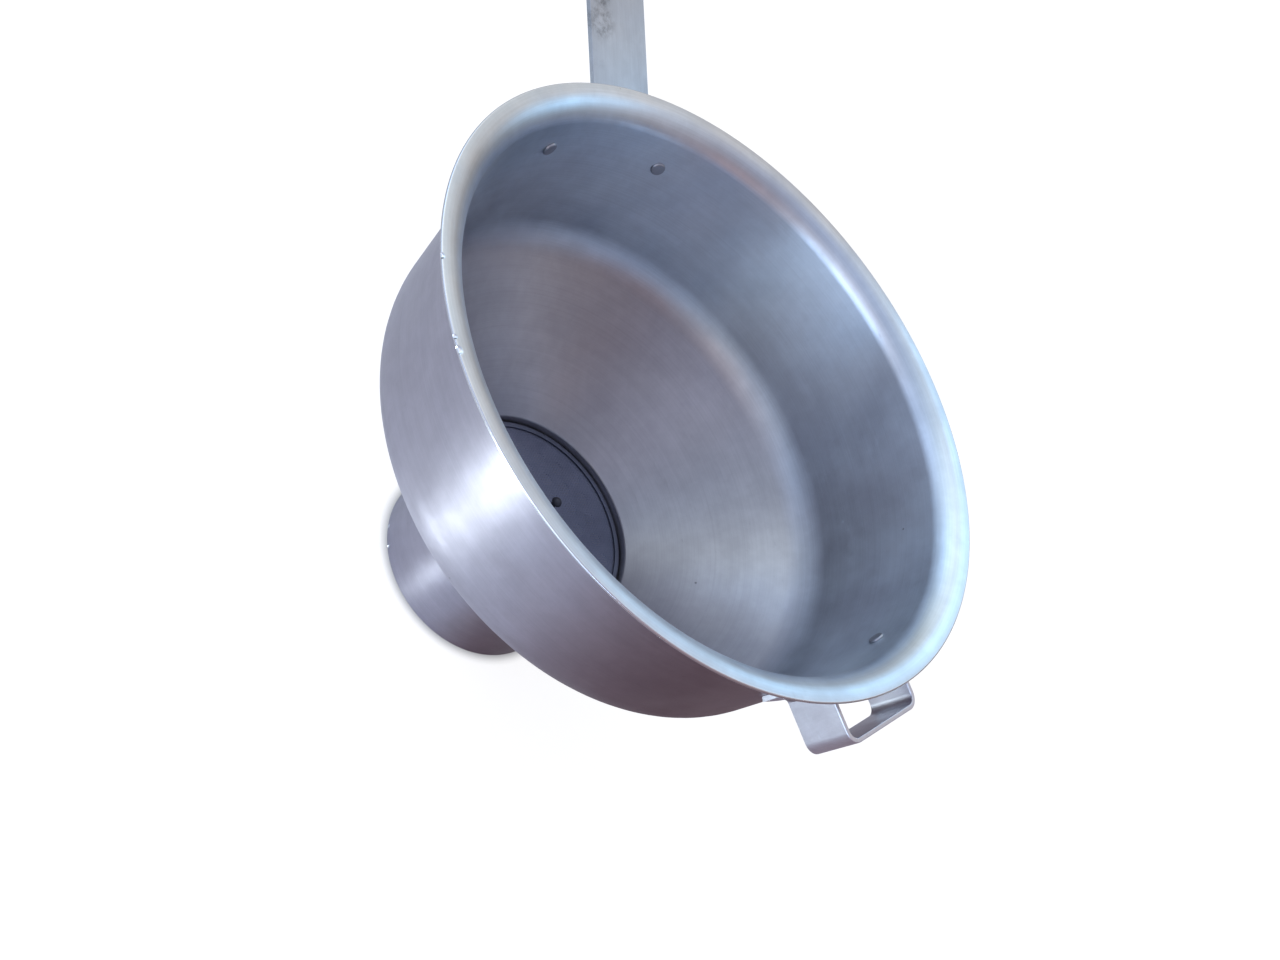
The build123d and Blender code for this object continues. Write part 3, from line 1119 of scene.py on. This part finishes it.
@dataclass
class Rivets:
    """Rivets through the wall: low head on the milk side, round head outside."""

    radius: float = 1.8
    head_radius: float = 3.4
    head_height: float = 2.0
    flush_radius: float = 3.0
    flush_height: float = 0.8
    flush_taper: float = 0.9
    flush_round: float = 0.5
    flush_edge_round: float = 0.1
    head_edge_round: float = 0.15
    gap: float = 0.08

    def one(self, shop: Workshop, sheet: float, strap: float) -> bpy.types.Object:
        """One rivet on the axis, its round head upwards.

        Args:
            shop: shared trees and materials.
            sheet: thickness of the wall.
            strap: thickness of the strap it holds.

        Returns:
            The rivet.
        """
        inside = -sheet - self.gap
        bottom = inside - self.flush_height
        outside = strap + 2 * self.gap
        top = outside + self.head_height
        flat, ball = crown(self.head_radius, self.head_height)
        profile = [
            (0.0, top, 0.0),
            (flat, top, ball),
            (self.head_radius, outside, self.head_edge_round),
            (self.radius, outside, 0.0),
            (self.radius, inside, 0.0),
            (self.flush_radius, inside, self.flush_edge_round),
            (self.flush_radius * self.flush_taper, bottom, self.flush_round),
            (0.0, bottom, 0.0),
        ]
        return shop.turn("one_rivet", profile, RIVET, closed=False, steps=SMALL_STEPS)

    def build(self, shop: Workshop, bowl: Bowl, pair: Pair) -> None:
        """Makes and places a pair of rivets.

        Args:
            shop: shared trees and materials.
            bowl: the shell they go through.
            pair: where they stand and what they hold.
        """
        half = math.degrees(math.asin(pair.spacing / 2 / bowl.wall_radius(bowl.rivet_z)))
        planes = [bowl.wall_plane(pair.angle + side * half) for side in (-1, 1)]
        mesh = bpy.data.meshes.new(pair.name)
        on_wall = Vector((bowl.wall_curve() * MM, 0.0, 0.0))
        mesh.from_pydata([plane @ on_wall for plane in planes], [], [])
        out = mesh.attributes.new("out", "FLOAT_VECTOR", "POINT")
        out.data.foreach_set("vector", [part for plane in planes for part in plane.col[0].xyz])
        model = self.one(shop, bowl.sheet, pair.strap)
        piece = grow(pair.name, mesh, shop.scatter, Part=model, Material=shop.materials[RIVET])
        bpy.data.objects.remove(model)
        shop.fit(piece, Body.STRAINER, pair.node)


@dataclass
class Handle:
    """Strap on a broad riveted foot, bent out under the lip and rising past its edge."""

    width: float = 28.0
    thickness: float = 2.0
    rise: float = 22.9
    under_lip: float = 1.4
    bend: float = 7.5
    tip_corner: float = 13.5
    grip_length: float = 118.0
    grip_bend: float = 180.0
    grip_drop: float = 12.0
    grip_end: float = 58.0
    foot_width: float = 73.0
    foot_height: float = 18.0
    foot_corner: float = 6.0
    foot_bend: float = 2.0
    hole_radius: float = 5.0
    hole_from_end: float = 14.0
    rivet_spacing: float = 56.6
    rivet_hole: float = 1.9
    gap: float = 0.08
    edge_round: float = 0.45
    edge_steps: int = 3
    edge_angle: float = 55.0
    foot_steps: int = 8
    tip_steps: int = 12
    hole_steps: int = 32
    rivet_steps: int = 20
    bend_cuts: int = 12
    foot_cuts: int = 2

    def side_line(self, bowl: Bowl) -> BentLine:
        """Upper face of the strap, seen from the side, from its low end to its tip."""
        slope, rise = bowl.slope, math.radians(self.rise)
        fall = math.radians(self.rise - self.grip_drop)
        low_z = bowl.rivet_z - self.foot_height / 2 * math.cos(slope)
        face = bowl.wall_radius(bowl.rivet_z) + self.gap / math.cos(slope)
        axis = face - bowl.rivet_z * math.tan(slope)
        edge_z = bowl.rim_z - bowl.sheet - self.under_lip
        bend_z = edge_z - (bowl.rim_radius - axis) * math.tan(rise)
        bend_z /= 1 - math.tan(slope) * math.tan(rise)
        low = (axis + low_z * math.tan(slope), low_z)
        bend = (axis + bend_z * math.tan(slope), bend_z)
        line = [low, bend]
        for run, way in ((self.grip_length, rise), (self.grip_end, fall)):
            line.append((line[-1][0] + run * math.cos(way), line[-1][1] + run * math.sin(way)))
        return BentLine(line, [self.bend, self.grip_bend])

    @staticmethod
    def corner(x: float, y: float, radius: float, start: float, steps: int) -> list[Span]:
        """Quarter circle about a centre, from an angle in degrees, anticlockwise."""
        angles = [math.radians(start + 90 * k / steps) for k in range(steps + 1)]
        return [(x + radius * math.cos(a), y + radius * math.sin(a)) for a in angles]

    def blank(self, length: float, half_foot: float, rivet_at: float) -> bmesh.types.BMesh:
        """Flat blank of the handle: x runs along the strap from its low end, y across it.

        Args:
            length: length of the strap.
            half_foot: half the foot's width, laid flat.
            rivet_at: distance of the rivets from the middle line, laid flat.

        Returns:
            The blank as one flat sheet with its holes, in mm.
        """
        half, r, t = self.width / 2, self.foot_corner, self.tip_corner
        side = self.corner(r, r - half_foot, r, 180, self.foot_steps)
        side += self.corner(self.foot_height - r, r - half_foot, r, 270, self.foot_steps)
        side += [(self.foot_height, -half)]
        side += self.corner(length - t, t - half, t, 270, self.tip_steps)
        holes = [
            (length - self.hole_from_end, 0.0, self.hole_radius, self.hole_steps),
            (self.foot_height / 2, -rivet_at, self.rivet_hole, self.rivet_steps),
            (self.foot_height / 2, rivet_at, self.rivet_hole, self.rivet_steps),
        ]
        loops = [side + [(x, -y) for x, y in side[::-1]]]
        for x, y, radius, steps in holes:
            turns = [math.tau * k / steps for k in range(steps)]
            loops.append([(x + radius * math.cos(a), y + radius * math.sin(a)) for a in turns])
        sheet = bmesh.new()
        edges = []
        for loop in loops:
            corners = [sheet.verts.new((x, y, 0.0)) for x, y in loop]
            edges += [sheet.edges.new(pair) for pair in zip(corners, corners[1:] + corners[:1])]
        bmesh.ops.triangle_fill(sheet, use_beauty=True, edges=edges)
        bmesh.ops.recalc_face_normals(sheet, faces=sheet.faces)
        if sheet.faces[:][0].normal.z < 0:
            bmesh.ops.reverse_faces(sheet, faces=sheet.faces)
        return sheet

    def build(self, shop: Workshop, bowl: Bowl) -> None:
        """Makes, bends and places the handle."""
        side = self.side_line(bowl)
        inner = bowl.wall_curve() + self.gap
        lean = math.asin(self.rivet_spacing / 2 / bowl.wall_curve())
        flat = inner * math.tan(lean / 2)
        wing = self.foot_width / 2 - flat
        end = (-wing * math.tan(lean), flat + wing)
        across = BentLine([(0.0, 0.0), (0.0, flat), end], [self.foot_bend])
        sheet = self.blank(side.length, across.length, 2 * flat)
        stations = [(s, 0.0, (1.0, 0.0, 0.0)) for s in side.cuts(self.bend_cuts)]
        for t in across.cuts(self.foot_cuts):
            stations += [(0.0, way * t, (0.0, 1.0, 0.0)) for way in (-1, 1)]
        for x, y, normal in stations:
            parts = sheet.verts[:] + sheet.edges[:] + sheet.faces[:]
            bmesh.ops.bisect_plane(
                sheet, geom=parts, dist=1e-4, plane_co=(x, y, 0.0), plane_no=normal
            )
        for vertex in sheet.verts:
            radius, z = side.at(vertex.co.x)
            shift, y = across.at(abs(vertex.co.y))
            radius += shift * math.cos(bowl.slope)
            z -= shift * math.sin(bowl.slope)
            vertex.co = Vector((radius, math.copysign(y, vertex.co.y), z)) * MM
        mesh = bpy.data.meshes.new("handle_strap")
        sheet.to_mesh(mesh)
        sheet.free()
        for face in mesh.polygons:
            face.use_smooth = True
        mesh.materials.append(shop.materials[STRAP])
        piece = bpy.data.objects.new("handle_strap", mesh)
        bpy.context.scene.collection.objects.link(piece)
        wall = piece.modifiers.new("thickness", "SOLIDIFY")
        wall.thickness = self.thickness * MM
        wall.offset = -1.0
        wall.use_even_offset = True
        edge = piece.modifiers.new("edges", "BEVEL")
        edge.width = self.edge_round * MM
        edge.segments = self.edge_steps
        edge.limit_method = "ANGLE"
        edge.angle_limit = math.radians(self.edge_angle)
        shop.fit(settle(piece), Body.STRAINER, "handle")


@dataclass
class RestLoop:
    """Strap bent round three sides of a box, with a riveted foot turned out at each end."""

    angle: float = 192.0
    width: float = 18.4
    thickness: float = 1.8
    span: float = 44.4
    reach: float = 21.0
    bend: float = 3.4
    foot_bend: float = 2.0
    foot_length: float = 11.5
    edge_round: float = 0.4
    gap: float = 0.08

    def path(self, bowl: Bowl) -> list[OutlinePoint]:
        """Middle line of the strap, in its own plane."""
        half = self.thickness / 2
        middle = bowl.wall_curve() + self.gap + half
        leg = self.span / 2 - half
        end = self.span / 2 + self.foot_length
        tip = bowl.wall_curve() + self.reach - half
        foot = [end + (leg - end) * k / 3 for k in range(4)]
        side = [(math.sqrt(middle**2 - y**2), y, 0.0) for y in foot[:-1]]
        side.append((math.sqrt(middle**2 - leg**2), leg, self.foot_bend + half))
        side.append((tip, leg, self.bend + half))
        return side + [(x, -y, bend) for x, y, bend in side[::-1]]

    def build(self, shop: Workshop, bowl: Bowl) -> None:
        """Makes and places the loop."""
        piece = grow(
            "rest_loop_strap",
            line_mesh("rest_loop_strap", self.path(bowl), False),
            shop.strap,
            Width=self.width * MM,
            Thickness=self.thickness * MM,
            Edge=self.edge_round * MM,
            Bend_steps=BEND_STEPS,
            Material=shop.materials[LIT_LOOP],
        )
        piece.data.transform(bowl.wall_plane(self.angle))
        shop.fit(piece, Body.STRAINER, "rest_loop")


@dataclass(frozen=True)
class SoftPanel:
    """A broad, soft light far away.

    Attributes:
        azimuth: turn about the strainer's axis in degrees, from the handle.
        elevation: height above the floor in degrees.
        colour: its light.
        gather: how tightly it is gathered.
    """

    azimuth: float
    elevation: float
    colour: Colour
    gather: float = 7.0

    def way(self) -> Point:
        """Direction towards the panel."""
        turn, rise = math.radians(self.azimuth), math.radians(self.elevation)
        return (
            math.cos(rise) * math.cos(turn),
            math.cos(rise) * math.sin(turn),
            math.sin(rise),
        )


@dataclass(frozen=True)
class Lamp:
    """A soft rectangular lamp near the strainer.

    Attributes:
        name: its name.
        place: its middle.
        aim: the point it faces.
        size: width and height in metres.
        power: watts.
        colour: its light.
    """

    name: str
    place: Point
    aim: Point
    size: Span
    power: float
    colour: Colour

    def build(self) -> None:
        """Adds the lamp to the scene."""
        data = bpy.data.lights.new(self.name, "AREA")
        data.shape = "RECTANGLE"
        data.size, data.size_y = self.size
        data.energy = self.power
        data.color = self.colour
        lamp = bpy.data.objects.new(self.name, data)
        lamp.location = self.place
        way = Vector(self.aim) - Vector(self.place)
        lamp.rotation_euler = way.to_track_quat("-Z", "Y").to_euler()
        lamp.visible_camera = False
        bpy.context.scene.collection.objects.link(lamp)


@dataclass
class Studio:
    """Camera, floor and plain soft light."""

    camera_place: Point = (-0.17691, 0.38895, 0.45724)
    camera_right: Point = (-0.31986, -0.70760, 0.63007)
    camera_up: Point = (0.89914, -0.01701, 0.43735)
    camera_back: Point = (-0.29875, 0.70640, 0.64167)
    lens: float = 42.05
    floor_size: float = 30.0
    floor_colour: Colour = (0.8, 0.8, 0.8)
    seen_colour: Colour = (0.3, 0.3, 0.3)
    seen_glow: float = 0.84
    # Floor as metal mirrors it: a dimmer grey, turning dark brown on one side as a painted
    # reflection of a darker room.
    mirrored_near: Colour = (0.6, 0.6, 0.6)
    mirrored_brown_room: Colour = (0.26, 0.17, 0.18)
    mirrored_glow: float = 0.08
    far_side: Point = (-0.88, -0.47, 0.0)
    far_span: Span = (-0.05, 0.22)
    spout_shade: Span = (0.038, 0.046)
    ambient: float = 0.05
    panels: tuple[SoftPanel, ...] = (
        SoftPanel(114.0, 12.0, (1.5, 1.4, 1.45)),
        SoftPanel(174.0, 12.0, (0.48, 0.30, 0.30)),
        SoftPanel(54.0, 12.0, (0.92, 1.12, 1.52)),
        SoftPanel(234.0, 42.0, (0.48, 0.46, 0.50)),
        SoftPanel(294.0, 42.0, (0.62, 0.49, 0.40)),
        SoftPanel(354.0, 42.0, (1.35, 1.55, 1.60)),
        SoftPanel(114.0, 78.0, (0.33, 0.41, 0.63)),
        SoftPanel(0.0, 28.0, (0.0, 0.30, 0.90), 40.0),
    )
    lamps: tuple[Lamp, ...] = (
        Lamp(
            name="key",
            place=(-0.45, 0.84, 0.22),
            aim=(0.0, -0.05, 0.14),
            size=(0.9, 0.3),
            power=3.7,
            colour=(0.42, 0.68, 1.0),
        ),
        Lamp(
            name="low_key",
            place=(-0.066, 0.36, 0.03),
            aim=(-0.02, 0.10, 0.09),
            size=(0.05, 0.12),
            power=0.8,
            colour=(0.88, 1.0, 1.0),
        ),
        Lamp(
            name="rim_light",
            place=(0.057, -0.414, 0.45),
            aim=(-0.1, -0.05, 0.16),
            size=(0.2, 0.2),
            power=0.2,
            colour=(0.27, 0.67, 1.0),
        ),
    )

    def camera(self) -> None:
        """Camera at the angle of the photograph."""
        data = bpy.data.cameras.new("camera")
        data.lens = self.lens
        data.sensor_width = 36.0
        data.sensor_fit = "HORIZONTAL"
        data.clip_start = 0.01
        camera = bpy.data.objects.new("camera", data)
        axes = Matrix((self.camera_right, self.camera_up, self.camera_back))
        turn = axes.transposed().to_4x4()
        turn.translation = self.camera_place
        camera.matrix_world = turn
        bpy.context.scene.collection.objects.link(camera)
        bpy.context.scene.camera = camera

    @staticmethod
    def floor_look(tree: ShadeTree, colour: object, glow: object) -> Socket:
        """Floor as one kind of ray sees it.

        Args:
            tree: the floor's material.
            colour: colour of the floor in the light that falls on it.
            glow: white that is added to it.

        Returns:
            The shader.
        """
        lit = tree.add("ShaderNodeBsdfDiffuse", {"Color": colour}).outputs[0]
        white = tree.add("ShaderNodeEmission", {"Strength": glow}).outputs[0]
        return tree.add("ShaderNodeAddShader", {0: lit, 1: white}).outputs[0]

    def floor(self) -> None:
        """Plain pale floor that shows white to the camera and keeps a soft shadow; metal mirrors it
        dimmer, with a painted brown room reflection on one side.
        """
        half = self.floor_size / 2
        corners = [(-half, -half, 0), (half, -half, 0), (half, half, 0), (-half, half, 0)]
        mesh = bpy.data.meshes.new("floor")
        mesh.from_pydata(corners, [], [(0, 1, 2, 3)])
        tree = ShadeTree("pale_floor")
        rays = tree.add("ShaderNodeLightPath").outputs
        mirrored = tree.math("MAXIMUM", rays["Is Glossy Ray"], rays["Is Transmission Ray"])
        open_floor = tree.ramp(tree.measure("LENGTH", tree.place), *self.spout_shade)
        # Painted reflection: the mirrored floor turns dark brown towards one side.
        away = tree.ramp(tree.measure("DOT_PRODUCT", tree.place, self.far_side), *self.far_span)
        mirrored_room_floor = tree.blend(away, self.mirrored_near, self.mirrored_brown_room)
        shown = self.floor_look(tree, (*self.floor_colour, 1.0), 0.0)
        for ray, colour, glow in (
            (mirrored, mirrored_room_floor, self.mirrored_glow),
            (rays["Is Camera Ray"], (*self.seen_colour, 1.0), self.seen_glow),
        ):
            look = self.floor_look(tree, colour, tree.math("MULTIPLY", open_floor, glow))
            shown = tree.add("ShaderNodeMixShader", {0: ray, 1: shown, 2: look}).outputs[0]
        mesh.materials.append(tree.end(shown))
        floor = bpy.data.objects.new("floor", mesh)
        bpy.context.scene.collection.objects.link(floor)

    def world(self) -> None:
        """White to the camera, with soft light from a few broad directions."""
        world = bpy.data.worlds.new("studio")
        world.use_nodes = True
        bpy.context.scene.world = world
        tree = NodeBuilder(world.node_tree)
        tree.tree.nodes.clear()
        way = tree.add("ShaderNodeTexCoord").outputs["Generated"]
        total = (self.ambient, self.ambient, self.ambient)
        for panel in self.panels:
            facing = tree.measure("DOT_PRODUCT", way, panel.way())
            fall = tree.math("MULTIPLY", tree.math("SUBTRACT", facing, 1.0), panel.gather)
            light = tree.vector("MULTIPLY", panel.colour, tree.math("EXPONENT", fall))
            total = tree.vector("ADD", total, light)
        sky = tree.add("ShaderNodeBackground", {"Color": total}).outputs[0]
        white = tree.add("ShaderNodeBackground", {"Color": (1.0, 1.0, 1.0, 1.0)}).outputs[0]
        seen = tree.add("ShaderNodeLightPath").outputs["Is Camera Ray"]
        shown = tree.add("ShaderNodeMixShader", {0: seen, 1: sky, 2: white})
        tree.add("ShaderNodeOutputWorld", {"Surface": shown.outputs[0]})

    def build(self) -> None:
        """Sets up camera, floor and lights."""
        bpy.context.scene.view_settings.view_transform = "Standard"
        self.camera()
        self.floor()
        self.world()
        for lamp in self.lamps:
            lamp.build()


def main() -> None:
    """Builds the strainer piece by piece."""
    Studio().build()
    shop = Workshop()
    bowl = Bowl()
    bowl.build(shop)
    Spout().build(shop)
    Sieve().build(shop)
    handle, loop, rivets = Handle(), RestLoop(), Rivets()
    handle.build(shop, bowl)
    loop.build(shop, bowl)
    spacing = loop.span + loop.foot_length
    for pair in (
        Pair("handle_rivet_pair", "handle_rivets", 0.0, handle.rivet_spacing, handle.thickness),
        Pair("loop_rivet_pair", "loop_rivets", loop.angle, spacing, loop.thickness),
    ):
        rivets.build(shop, bowl, pair)
    log.info("boxes written")


if __name__ == "__main__":
    logging.basicConfig(level=logging.INFO, format="%(name)s: %(message)s")
    main()
